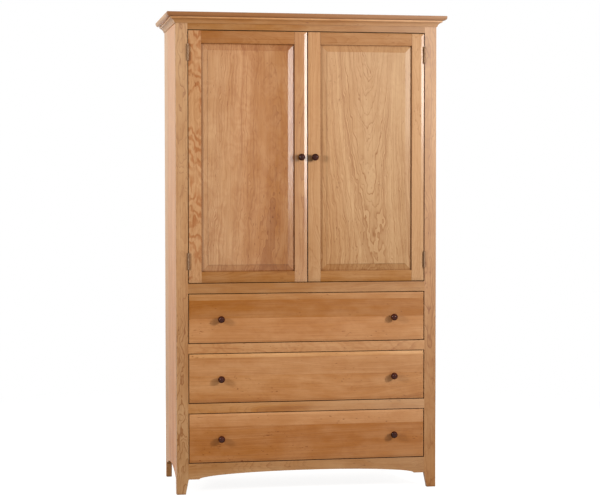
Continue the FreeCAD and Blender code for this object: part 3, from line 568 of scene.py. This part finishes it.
# painted sheen: boards go paler over this share of their length
rightPart = (0.35, 1.0)  # share of the length in which a board goes paler
caseBoards = {
    "left_side": {
        **sidePlank, "heartDepth": 0.09, "farPaintedLight": 0.24, "paintedLightSpan": (0.08, 0.75),
        "boards": [(0.0, 0.02, 0.4, 0.2, 1.32), (0.34, 0.04, 0.3, 0.55, 1.3), (0.7, 0.46, 0, 0.9, 1.06)],
    },
    "right_side": {
        **sidePlank, "heartDepth": -0.07,
        "boards": [(0.0, 0.55, 0.4, 0.1), (0.4, 0.65, 0.3, 0.6), (0.75, 0.58, 0.5, 0.85)],
    },
    "left_stile": {
        **upright, "heartDepth": 0.05, "contrast": 2.0, "wild": 1.2, "farPaintedLight": 0.1,
        "boards": [(0.0, 0.62, 0.05, 0.5, 0.84)],
    },
    "right_stile": {
        **upright, "heartDepth": 0.06, "fleck": 0.9, "curl": 0.3, "contrast": 1.5, "wild": 0.9,
        "farPaintedLight": 0.24,
        "boards": [(0.0, 0.42, 0.5, 0.3, 0.82)],
    },
    "crown_board": {
        **flatBoard, "heartDepth": -0.08, "paintedLight": 0.06, "farPaintedLight": 0.16, "paintedLightSpan": rightPart,
        "contrast": 0.4, "streak": 0.15, "mottle": 0.05, "gap": 0.2, "corner": 0.1, "coat": 0.05,
        "endPaintedLight": 0.2,
        "boards": [(0.0, 0.02, 0.9, 0.3, 0.66), (0.12, 0.5, 0.3, 0.75, 0.85)],
    },
    "front_crown_cove": {
        **rail, "heartDepth": 0.06, "paintedLight": 0.04, "farPaintedLight": 0.16, "paintedLightSpan": rightPart,
        "gap": 0.1, "corner": 0.0, "joints": "LINEAR",
        # the upper stops are painted light: the cove's top and its fillet painted paler where light catches
        # them
        "boards": [
            (0.0, 0.26, 0.25, 0.4, 0.72), (0.5, 0.2, 0, 0.4, 0.86), (0.84, 0.3, 0, 0.4, 0.95),
            (0.87, 0.6, 0, 0.4, 0.98),
        ],
    },
    "left_crown_cove": {
        **sideStrip, "heartDepth": 0.06, "paintedLight": 0.12, "gap": 0.1, "corner": 0.0, "coat": 0.05,
        "boards": [(0.0, 0.9, 0.6, 0.6, 0.7)],
    },
    "right_crown_cove": {**sideStrip, "heartDepth": 0.05, "boards": [(0.0, 0.45, 0.3, 0.2)]},
    "top_rail": {
        **rail, "heartDepth": 0.07, "farPaintedLight": 0.18, "paintedLightSpan": rightPart,
        "boards": [(0.0, 0.16, 0, 0.6, 0.7)],
    },
    "door_sill_rail": {
        **rail, "heartDepth": 0.05, "paintedLight": 0.05, "farPaintedLight": 0.09, "paintedLightSpan": rightPart,
        "boards": [(0.0, 0.04, 0, 0.2, 0.82)],
    },
    "upper_drawer_rail": {
        **rail, "heartDepth": 0.06, "curl": 0.35, "farPaintedLight": 0.08,
        "boards": [(0.0, 0.52, 0.65, 0.7, 0.94)],
    },
    "lower_drawer_rail": {
        **rail, "heartDepth": 0.08, "paintedLight": 0.03, "farPaintedLight": 0.16, "paintedLightSpan": rightPart,
        "boards": [(0.0, 0.16, 0.05, 0.4, 1.02)],
    },
    "arched_apron": {
        **rail, "heartDepth": 0.05, "farPaintedLight": 0.08,
        "boards": [(0.0, 0.44, 0.05, 0.5, 0.9)],
    },
    "work_surface": {
        **flatBoard, "heartDepth": -0.06,
        "boards": [(0.0, 0.5, 0.3, 0.15), (0.3, 0.6, 0.2, 0.5), (0.68, 0.45, 0.4, 0.8)],
    },
    "shelf": {
        **flatBoard, "heartDepth": -0.08,
        "boards": [(0.0, 0.55, 0.3, 0.25), (0.52, 0.48, 0.2, 0.7)],
    },
    "shelf_cleats": {**sideStrip, "heartDepth": 0.05, "boards": [(0.0, 0.5, 0.2, 0.5)]},
    "back_boards": {
        **upright, "heartDepth": 0.07, "contrast": 0.65,
        "boards": [
            (0.0, 0.5, 0.2, 0.08), (0.144, 0.62, 0.3, 0.2), (0.286, 0.42, 0.25, 0.36),
            (0.429, 0.56, 0.15, 0.5), (0.571, 0.48, 0.4, 0.66), (0.714, 0.64, 0.2, 0.78),
            (0.857, 0.46, 0.3, 0.95),
        ],
    },
}

# frames inside the case: runners, and rear rails that run across
webFrame = {**runner, "turned": {**rail, "axis": "y", "beyond": 0.211}}
frameBoards = {
    "rear_top_rail": {**rail, "heartDepth": 0.06, "boards": [(0.0, 0.55, 0.2, 0.4)]},
    "work_surface_frame": {
        **webFrame, "heartDepth": 0.06,
        "boards": [(0.0, 0.5, 0.2, 0.1), (0.5, 0.6, 0.3, 0.9)],
    },
    "bottom_web_frame": {
        **webFrame, "heartDepth": 0.06,
        "boards": [(0.0, 0.45, 0.3, 0.1), (0.5, 0.55, 0.2, 0.9)],
    },
    "lower_web_frame": {
        **webFrame, "heartDepth": 0.05,
        "boards": [(0.0, 0.6, 0.2, 0.1), (0.5, 0.5, 0.3, 0.9)],
    },
    "upper_web_frame": {
        **webFrame, "heartDepth": 0.07,
        "boards": [(0.0, 0.52, 0.4, 0.1), (0.5, 0.44, 0.2, 0.9)],
    },
}

# painted shadow for the door edges beside the gaps
gapEdgeShadow = tint(104, 60, 36)
endGrain = (0.86, 0.77, 0.66, 1)
doorBoards = {
    "left_door_hinge_stile": {
        **upright, "heartDepth": 0.05, "curl": 1.0,
        "boards": [(0.0, 0.92, 0.9, 0.4, 0.76)],
    },
    "left_door_meeting_stile": {
        **upright, "heartDepth": 0.06, "coat": 0.55, "coatIor": 2.0, "edge": 0.0018, "arris": gapEdgeShadow,
        "boards": [(0.0, 0.42, 0.3, 0.8, 0.82)],
    },
    "left_door_top_rail": {
        **rail, "heartDepth": 0.06, "edge": 0.003, "arris": gapEdgeShadow,
        "boards": [(0.0, 0.32, 0.9, 0.3, 0.68)],
    },
    "left_door_bottom_rail": {**rail, "heartDepth": 0.05, "boards": [(0.0, 0.12, 0.4, 0.6, 0.74)]},
    "left_door_panel": {
        **upright, "heartDepth": 0.1, "ring": 0.0080, "contrast": 1.3, "wild": 1.5, "streak": 0.2,
        "mottle": 0.25, "curl": 0.26, "gap": 0.7, "corner": 0.6, "coat": 0.3, "coatIor": 2.0,
        "joints": "LINEAR", "endTint": endGrain,
        "boards": [
            (0.16, 0.72, 0.6, 0.72, 0.78), (0.48, 0.58, 0.8, 0.72, 0.8), (0.8, 0.22, 0.5, 0.72, 0.76),
        ],
    },
    "right_door_hinge_stile": {
        **upright, "heartDepth": 0.07, "coat": 0.26, "edge": 0.0040, "arris": gapEdgeShadow,
        "boards": [(0.0, 0.94, 0.55, 0.4, 0.68)],
    },
    "right_door_meeting_stile": {
        **upright, "heartDepth": 0.05, "edge": 0.0026, "arris": gapEdgeShadow,
        "boards": [(0.0, 0.94, 0.85, 0.1, 0.68)],
    },
    "right_door_top_rail": {
        **rail, "heartDepth": 0.06, "edge": 0.003, "arris": gapEdgeShadow,
        "boards": [(0.0, 0.52, 0.85, 0.7, 0.62)],
    },
    "right_door_bottom_rail": {**rail, "heartDepth": 0.05, "boards": [(0.0, 0.14, 0.05, 0.2, 0.76)]},
    "right_door_panel": {
        **upright, "heartDepth": 0.08, "ring": 0.0060, "contrast": 1.6, "wild": 1.1, "streak": 0.2,
        "mottle": 0.15, "curl": 0.14, "gap": 0.6, "corner": 0.4, "coat": 0.05, "paintedLight": 0.01, "farPaintedLight": 0.08,
        "joints": "LINEAR", "endTint": endGrain,
        "boards": [
            (0.1, 0.66, 0.3, 0.5, 0.78), (0.5, 0.88, 0.15, 0.5, 0.68), (0.92, 0.94, 0, 0.5, 0.68),
        ],
    },
}

drawerFace = {**rail, "heartDepth": 0.1, "fleck": 0.9, "streak": 0.25, "contrast": 0.6, "farPaintedLight": 0.05}
drawerFronts = {
    "top_drawer_front": {
        **drawerFace,
        "boards": [(0.0, 0.44, 0.9, -0.6, 0.94), (0.5, 0.04, 0.8, 1.6, 0.84), (0.87, 0.3, 0.4, 1.9, 0.88)],
    },
    "middle_drawer_front": {
        **drawerFace,
        # the last stop is a painted highlight along the drawer's top bevel
        "boards": [
            (0.0, 0.36, 0.7, -0.3, 0.98), (0.55, 0.44, 0.85, 1.7, 0.94), (0.915, 0.46, 0.3, 1.71, 1.1),
        ],
    },
    "bottom_drawer_front": {
        **drawerFace,
        "boards": [(0.0, 0.14, 0.9, -0.7, 0.98), (0.73, 0.5, 0.9, 1.5, 1.02)],
    },
}

drawerBoxes = {
    "drawers": ("top_drawer", "middle_drawer", "bottom_drawer"),
    "pieces": {"left_side": sideStrip, "right_side": sideStrip, "back": rail, "bottom": flatBoard},
    "heartDepth": 0.06,
    "tone": 0.5,
    "toneSwing": 0.3,  # from piece to piece
    "pink": 0.3,
    "heart": 0.5,
    "heartSwing": 0.4,
    "heartPace": 2.3,
}
seedStep = 1.7


def dressWood(look):
    seed = 0.0
    for wood, group in (
        ("cherry", caseBoards),
        ("framePoplar", frameBoards),
        ("cherry", doorBoards),
        ("cherry", drawerFronts),
    ):
        for node, spec in group.items():
            seed += seedStep
            dress(node, woodMaterial(node + "_wood", wood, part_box(node), {**spec, "seed": seed}))
    for drawer in look["drawers"]:
        for piece, lie in look["pieces"].items():
            seed += seedStep
            node = drawer + "_" + piece
            tone = look["tone"] + look["toneSwing"] * math.sin(seed)
            heart = look["heart"] + look["heartSwing"] * math.cos(seed * look["heartPace"])
            boards = [(0.0, tone, look["pink"], heart)]
            spec = {**lie, "heartDepth": look["heartDepth"], "boards": boards, "seed": seed}
            dress(node, woodMaterial(node + "_wood", "drawerMaple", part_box(node), spec))


dressWood(drawerBoxes)
print("wood dressed")


# steel of the hinges, strikes and screws, and the catches' plastic

steelLook = {
    "colour": tint(126, 100, 78),
    "dull": tint(88, 68, 52),
    "rubbed": tint(176, 154, 134),
    "streak": 900.0,  # brushed lines, across
    "streakLength": 40,
    "clouds": 140.0,
    "cloudRange": (0.45, 0.75),
    "dulling": 0.5,
    "rub": 0.4,
    "edge": 0.0006,
    "reach": 0.006,
    "rough": (0.45, 0.62),
    "relief": 0.2,
    "reliefDepth": 0.00006,
}
slotLook = {
    **steelLook,
    "colour": tint(40, 34, 30),
    "dull": tint(22, 18, 16),
    "streak": 700.0,
    "rough": (0.6, 0.8),
}
plasticLook = {
    "colour": tint(58, 40, 30),
    "worn": tint(84, 62, 48),
    "pebble": 2400.0,
    "clouds": 60.0,
    "rub": 0.6,
    "cloudRub": 0.3,
    "edge": 0.0008,
    "reach": 0.01,
    "rough": (0.42, 0.6),
    "relief": 0.3,
    "reliefDepth": 0.0001,
}


def steelMaterial(name, look, along):
    material, tree, shader = newMaterial(name)
    stretch = [look["streak"]] * 3
    stretch["xyz".index(along)] = look["streak"] / look["streakLength"]
    place = put(tree, "TexCoord").outputs["Object"]
    brushed = vectorCalc(tree, "MULTIPLY", place, stretch)
    lines = put(tree, "TexNoise", {"Vector": brushed, "Scale": 1.0, "Detail": 3.0}).outputs[0]
    clouds = put(tree, "TexNoise", {"Vector": place, "Scale": look["clouds"], "Detail": 4.0}).outputs[0]
    worn = useGroup(tree, wearAndShade, {"Edge Width": look["edge"], "Corner Reach": look["reach"]})
    dulled = calc(tree, "MULTIPLY", ease(tree, clouds, *look["cloudRange"]), look["dulling"])
    dulled = calc(tree, "MULTIPLY_ADD", worn["Corner"], look["dulling"], dulled, clamp=True)
    colour = mixColour(tree, dulled, look["colour"], look["dull"])
    colour = mixColour(tree, calc(tree, "MULTIPLY", worn["Edge"], look["rub"]), colour, look["rubbed"])
    rough = ease(tree, lines, *noiseMiddle, *look["rough"])
    bump = put(tree, "Bump", {"Strength": look["relief"], "Distance": look["reliefDepth"], "Height": lines})
    wire(tree, shader, {"Base Color": colour, "Roughness": rough, "Normal": bump.outputs[0]})
    shader.inputs["Metallic"].default_value = 1.0
    return material


def plasticMaterial(name, look):
    material, tree, shader = newMaterial(name)
    place = put(tree, "TexCoord").outputs["Object"]
    pebble = put(tree, "TexNoise", {"Vector": place, "Scale": look["pebble"], "Detail": 2.0}).outputs[0]
    clouds = put(tree, "TexNoise", {"Vector": place, "Scale": look["clouds"], "Detail": 3.0}).outputs[0]
    worn = useGroup(tree, wearAndShade, {"Edge Width": look["edge"], "Corner Reach": look["reach"]})
    rub = calc(tree, "MULTIPLY", clouds, look["cloudRub"])
    rub = calc(tree, "MULTIPLY_ADD", worn["Edge"], look["rub"], rub, clamp=True)
    colour = mixColour(tree, rub, look["colour"], look["worn"])
    rough = ease(tree, clouds, *noiseMiddle, *look["rough"])
    bump = put(tree, "Bump", {"Strength": look["relief"], "Distance": look["reliefDepth"], "Height": pebble})
    wire(tree, shader, {"Base Color": colour, "Roughness": rough, "Normal": bump.outputs[0]})
    return material


uprightSteel = steelMaterial("upright_steel", steelLook, "z")
levelSteel = steelMaterial("level_steel", steelLook, "x")
catchPlastic = plasticMaterial("catch_plastic", plasticLook)
slotShade = steelMaterial("slot_shade", slotLook, "x")
for node in ("hinge_case_leaves", "hinge_pins", "left_door_hinge_leaves", "right_door_hinge_leaves"):
    dress(node, uprightSteel)
for node in ("left_door_strike", "right_door_strike"):
    dress(node, levelSteel)
dress("door_catches", catchPlastic)
print("steel and plastic dressed")


# small pieces made here: turned knobs, screws, pin tips, catch plates and the cable port's trim

weldReach = 0.0000001
screwTop = {"shoulder": 0.93, "top": 0.8}  # share of the head's radius


def facing(centre, direction):
    return Matrix.Translation(centre) @ Vector(direction).to_track_quat("Z", "Y").to_matrix().to_4x4()


def turnProfile(shape, profile, turns, place, paint=0):
    rings = []
    for radius, height in profile:
        angles = [2 * math.pi * step / turns for step in range(turns if radius else 1)]
        spots = [Vector((radius * math.cos(angle), radius * math.sin(angle), height)) for angle in angles]
        rings.append([shape.verts.new(place @ spot) for spot in spots])
    for lower, upper in zip(rings, rings[1:]):
        for step in range(turns):
            after = (step + 1) % turns
            corners = [(lower, step), (lower, after), (upper, after), (upper, step)]
            corners = [ring[index % len(ring)] for ring, index in corners]
            face = shape.faces.new(list(dict.fromkeys(corners)))
            face.smooth = True
            face.material_index = paint


def closeRings(shape, rings, smooth):
    steps = len(rings[0])
    for lower, upper in zip(rings, rings[1:]):
        for step in range(steps):
            after = (step + 1) % steps
            face = shape.faces.new([lower[step], lower[after], upper[after], upper[step]])
            face.smooth = smooth and after > 0  # the last side stays flat
    shape.faces.new(rings[-1])


def slottedHead(shape, look, place):
    radius, rise, easeDepth, floor = look["radius"], look["rise"], look["round"], look["slotFloor"]
    half = look["slotWidth"] / 2
    turnProfile(shape, [(radius, 0), (radius, floor)], look["turns"], place)
    turnProfile(shape, [(radius, floor), (0, floor)], look["turns"], place, 1)
    start = math.asin(half / radius)
    steps = look["turns"] // 2
    angles = [start + (math.pi - 2 * start) * step / steps for step in range(steps + 1)]
    easing = ((screwTop["shoulder"], rise - easeDepth / 3), (screwTop["top"], rise))
    levels = ((1, floor), (1, rise - easeDepth), *easing)  # share of the radius and height
    for side in (1, -1):  # the two halves of the head, either side of the slot
        rings = []
        for share, height in levels:
            reach = radius * share
            spots = [(reach * math.cos(angle), side * max(half, reach * math.sin(angle))) for angle in angles]
            rings.append([shape.verts.new(place @ Vector((*spot, height))) for spot in spots])
        closeRings(shape, rings, True)


def addPiece(name, shape, materials, body):
    bmesh.ops.remove_doubles(shape, verts=shape.verts, dist=weldReach)
    bmesh.ops.recalc_face_normals(shape, faces=shape.faces)
    mesh = bpy.data.meshes.new(name)
    shape.to_mesh(mesh)
    shape.free()
    for material in materials:
        mesh.materials.append(material)
    piece = bpy.data.objects.new(name, mesh)
    scene.collection.objects.link(piece)
    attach(piece, body)
    return piece


def addScrews(name, look, places, body):
    shape = bmesh.new()
    for centre, direction in places:
        slottedHead(shape, look, facing(centre, direction))
    addPiece(name, shape, [levelSteel, slotShade], body)


# knobs: a ball on a waisted stem, as radius and distance from the face
knobShape = {
    "profile": [
        (0.0069, 0.0), (0.0063, 0.0022), (0.0061, 0.0048), (0.0066, 0.0074), (0.0083, 0.0100),
        (0.0107, 0.0127), (0.0127, 0.0156), (0.0137, 0.0185), (0.0140, 0.0208), (0.0137, 0.0234),
        (0.0127, 0.0264), (0.0110, 0.0291), (0.0086, 0.0314), (0.0058, 0.0330), (0.0028, 0.0338),
        (0.0, 0.0340),
    ],
    "turns": 48,
    "wood": {**runner, "heartDepth": 0.02, "boards": [(0.0, 0.4, 0.3, 0.5)]},
    "seed": 60.0,
    "seedStep": 3.0,
    "back": -0.188,
}
knobScrew = {
    "radius": 0.0046, "rise": 0.0024, "round": 0.0014, "slotFloor": 0.0012, "slotWidth": 0.0011, "turns": 24,
}


def makeKnobs():
    seed = knobShape["seed"]
    for body in ("left_door", "right_door", "top_drawer", "middle_drawer", "bottom_drawer"):
        node = body + ("_knobs" if "drawer" in body else "_knob")
        low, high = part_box(node)
        reach, level = (high.z - low.z) / 2, (low.z + high.z) / 2
        centres = sorted({round(low.x + reach, 5), round(high.x - reach, 5)})
        seed += knobShape["seedStep"]
        spec = {**knobShape["wood"], "seed": seed}
        wood = woodMaterial(node + "_wood", "knobRosewood", (low, high), spec)
        shape = bmesh.new()
        for across in centres:
            place = facing((across, high.y, level), (0, -1, 0))
            turnProfile(shape, knobShape["profile"], knobShape["turns"], place)
        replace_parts(addPiece("turned_" + node, shape, [wood], body), node)
        places = [((across, knobShape["back"], level), (0, 1, 0)) for across in centres]
        addScrews(node + "_screws", knobScrew, places, body)


hingeScrew = {
    "radius": 0.0032, "rise": 0.00012, "round": 0.00004, "slotFloor": 0.00003, "slotWidth": 0.0008,
    "turns": 24,
    "face": {"case": 0.4847, "door": 0.4843},
    "depth": -0.2015,
    "bottoms": (0.906, 1.739),
    "along": (0.010, 0.032, 0.054),
}
pinTip = {
    "profile": [
        (0.0031, 0.0), (0.0033, 0.0004), (0.0033, 0.0012), (0.0027, 0.0020), (0.0014, 0.0025), (0.0, 0.0026),
    ],
    "turns": 24,
    "place": (0.4845, -0.2138),
    "length": 0.064,
}


def makeHingeDetails():
    levels = [bottom + along for bottom in hingeScrew["bottoms"] for along in hingeScrew["along"]]
    leaf = hingeScrew["face"]
    inward = []
    for side, body in ((-1, "left_door"), (1, "right_door")):
        outward = [((side * leaf["door"], hingeScrew["depth"], level), (side, 0, 0)) for level in levels]
        inward += [((side * leaf["case"], hingeScrew["depth"], level), (-side, 0, 0)) for level in levels]
        addScrews(body + "_hinge_screws", hingeScrew, outward, body)
    addScrews("case_hinge_screws", hingeScrew, inward, "case")
    shape = bmesh.new()
    across, depth = pinTip["place"]
    for side in (-1, 1):
        for bottom in hingeScrew["bottoms"]:
            for level, way in ((bottom, -1), (bottom + pinTip["length"], 1)):
                place = facing((side * across, depth, level), (0, 0, way))
                turnProfile(shape, pinTip["profile"], pinTip["turns"], place)
    addPiece("hinge_pin_tips", shape, [uprightSteel], "case")


strikeScrew = {
    "radius": 0.0024, "rise": 0.0002, "round": 0.00006, "slotFloor": 0.00005, "slotWidth": 0.0006,
    "turns": 20,
    "fromMiddle": 0.0105,
}
catchScrew = {
    "radius": 0.0032, "rise": 0.0014, "round": 0.0008, "slotFloor": 0.0007, "slotWidth": 0.0008,
    "turns": 20,
    "fromMiddle": 0.012,
    "fromTop": 0.010,
}
polePlate = {
    "width": 0.0045, "height": 0.009, "rise": 0.0001, "ease": 0.0004,
    "face": -0.1876,
    "fromMiddle": 0.0045,
    "fromBottom": 0.0075,
}


def makeCatchDetails():
    for body in ("left_door", "right_door"):
        low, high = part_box(body + "_strike")
        middle, level = (low.x + high.x) / 2, (low.z + high.z) / 2
        places = [((middle + way * strikeScrew["fromMiddle"], high.y, level), (0, 1, 0)) for way in (-1, 1)]
        addScrews(body + "_strike_screws", strikeScrew, places, body)
    low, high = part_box("door_catches")
    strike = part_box("right_door_strike")
    middle = (strike[0].x + strike[1].x) / 2
    ways = [(side * middle, way) for side in (-1, 1) for way in (-1, 1)]
    level = high.z - catchScrew["fromTop"]
    places = [((across + way * catchScrew["fromMiddle"], high.y, level), (0, 1, 0)) for across, way in ways]
    addScrews("catch_screws", catchScrew, places, "case")
    shape = bmesh.new()
    for across, way in ways:  # thin plates with eased edges, at the front of each magnet
        middle, level = across + way * polePlate["fromMiddle"], low.z + polePlate["fromBottom"]
        rings = []
        for shrink, out in ((0.0, 0.0), (0.0, polePlate["rise"] / 2), (polePlate["ease"], polePlate["rise"])):
            half, tall = polePlate["width"] / 2 - shrink, polePlate["height"] / 2 - shrink
            spots = [(-half, -tall), (half, -tall), (half, tall), (-half, tall)]
            face = polePlate["face"] - out
            rings.append([shape.verts.new((middle + right, face, level + up)) for right, up in spots])
        closeRings(shape, rings, False)
    addPiece("catch_pole_plates", shape, [levelSteel], "case")


cleatScrew = {
    "radius": 0.0042, "rise": 0.0010, "round": 0.0005, "slotFloor": 0.0005, "slotWidth": 0.0010,
    "turns": 24,
    "inner": 0.494,
    "depths": (-0.115, 0.030, 0.175),
    "level": 1.342,
}
backScrew = {
    "radius": 0.0040, "rise": 0.0008, "round": 0.0005, "slotFloor": 0.0004, "slotWidth": 0.0010,
    "turns": 20,
    "boards": 7,
    "fromMiddle": 0.05,
    "levels": (0.117, 0.3515, 0.5925, 0.822, 1.885),
}
portTrim = {
    "profile": [
        (0.0303, 0.0), (0.0303, 0.0016), (0.0309, 0.0022), (0.0369, 0.0022), (0.0377, 0.0018),
        (0.0380, 0.0010), (0.0380, 0.0),
    ],
    "turns": 64,
    "place": (0.0, 0.235, 0.946),
}


def makeCaseDetails():
    places = [((side * cleatScrew["inner"], depth, cleatScrew["level"]), (-side, 0, 0))
              for side in (-1, 1) for depth in cleatScrew["depths"]]
    addScrews("cleat_screws", cleatScrew, places, "case")
    low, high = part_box("back_boards")
    board = (high.x - low.x) / backScrew["boards"]
    middles = [low.x + (number + 0.5) * board for number in range(backScrew["boards"])]
    places = [((middle + way * backScrew["fromMiddle"], high.y, level), (0, 1, 0))
              for middle in middles for way in (-1, 1) for level in backScrew["levels"]]
    addScrews("back_screws", backScrew, places, "case")
    shape = bmesh.new()
    turnProfile(shape, portTrim["profile"], portTrim["turns"], facing(portTrim["place"], (0, -1, 0)))
    addPiece("cable_port_trim", shape, [catchPlastic], "case")


makeKnobs()
makeHingeDetails()
makeCatchDetails()
makeCaseDetails()
print("small pieces made")


# floor, backdrop light and lamps

white = (1, 1, 1, 1)


def seenDirectly(tree):
    path = put(tree, "LightPath").outputs
    through = calc(tree, "MAXIMUM", path["Is Glossy Ray"], path["Is Transmission Ray"])
    return calc(tree, "MAXIMUM", path["Is Camera Ray"], through)


floorLook = {
    "half": 30.0,
    "drop": 0.0004,  # clear of the feet
    "colour": (0.3, 0.3, 0.3, 1),
    "lift": 0.9,
    "fadeFrom": 1.2,
    "fadeTo": 3.2,
}
worldLook = {"fill": 0.36, "colour": (1.0, 0.92, 0.84, 1)}
lamps = {
    "key": {
        "place": (2.35, -2.6, 1.85), "aim": (0.0, -0.2, 1.75), "size": (0.2, 0.6),
        "power": 30.0, "spread": 112,
    },
    "rightSoftbox": {
        "place": (1.43, -2.6, 1.9), "aim": (0.0, -0.2, 1.6), "size": (0.3, 1.4),
        "power": 5.4, "spread": 100,
    },
    "leftSoftbox": {
        "place": (-3.7, -2.35, 1.9), "aim": (0.0, -0.2, 1.5), "size": (0.5, 0.7),
        "power": 28.5, "spread": 110,
    },
    "sidePanel": {
        "place": (-3.2, 0.1, 2.2), "aim": (-0.5, 0.0, 1.9), "size": (1.6, 1.6),
        "power": 8.8, "spread": 90,
    },
    "rightSidePanel": {
        "place": (3.6, 1.2, 1.8), "aim": (0.5, 0.0, 1.0), "size": (1.8, 2.0),
        "power": 46.0, "spread": 180,
    },
    "rearPanel": {
        "place": (0.6, 3.8, 2.0), "aim": (0.0, 0.2, 1.0), "size": (2.0, 2.0),
        "power": 60.0, "spread": 180,
    },
}


def makeFloor(look):
    half = look["half"]
    corners = [(-half, -half, 0), (half, -half, 0), (half, half, 0), (-half, half, 0)]
    mesh = bpy.data.meshes.new("floor")
    mesh.from_pydata(corners, [], [(0, 1, 2, 3)])
    floor = bpy.data.objects.new("floor", mesh)
    scene.collection.objects.link(floor)
    floor.location.z = -look["drop"]
    material, tree, shader = newMaterial("floor_pale")
    tree.nodes.remove(shader)
    surface = put(tree, "BsdfDiffuse", {"Color": look["colour"]}).outputs[0]
    lift = put(tree, "Emission", {"Color": white, "Strength": look["lift"]}).outputs[0]
    near = put(tree, "AddShader", {0: surface, 1: lift}).outputs[0]
    far = put(tree, "Emission", {"Color": white, "Strength": 1.0}).outputs[0]
    distance = vectorCalc(tree, "LENGTH", put(tree, "NewGeometry").outputs["Position"])
    fade = ease(tree, distance, look["fadeFrom"], look["fadeTo"])
    pale = put(tree, "MixShader", {0: fade, 1: near, 2: far}).outputs[0]
    shown = put(tree, "MixShader", {0: seenDirectly(tree), 1: surface, 2: pale}).outputs[0]
    tree.links.new(shown, tree.nodes["Material Output"].inputs[0])
    mesh.materials.append(material)


def makeWorld(look):
    world = bpy.data.worlds.new("studio")
    scene.world = world
    world.use_nodes = True
    tree = world.node_tree
    seen = seenDirectly(tree)
    shown = mixColour(tree, seen, look["colour"], white)
    strength = put(tree, "Mix", {0: seen, 2: look["fill"], 3: 1.0}).outputs[0]
    wire(tree, tree.nodes["Background"], {"Color": shown, "Strength": strength})


def makeLamp(name, spec):
    data = bpy.data.lights.new(name, "AREA")
    data.shape = "RECTANGLE"
    data.size, data.size_y = spec["size"]
    data.energy = spec["power"]
    data.spread = math.radians(spec["spread"])
    lamp = bpy.data.objects.new(name, data)
    scene.collection.objects.link(lamp)
    lamp.location = spec["place"]
    aim = Vector(spec["aim"]) - Vector(spec["place"])
    lamp.rotation_euler = aim.to_track_quat("-Z", "Y").to_euler()
    lamp.visible_camera = False


makeFloor(floorLook)
makeWorld(worldLook)
for name, spec in lamps.items():
    makeLamp(name, spec)
print("studio lit")
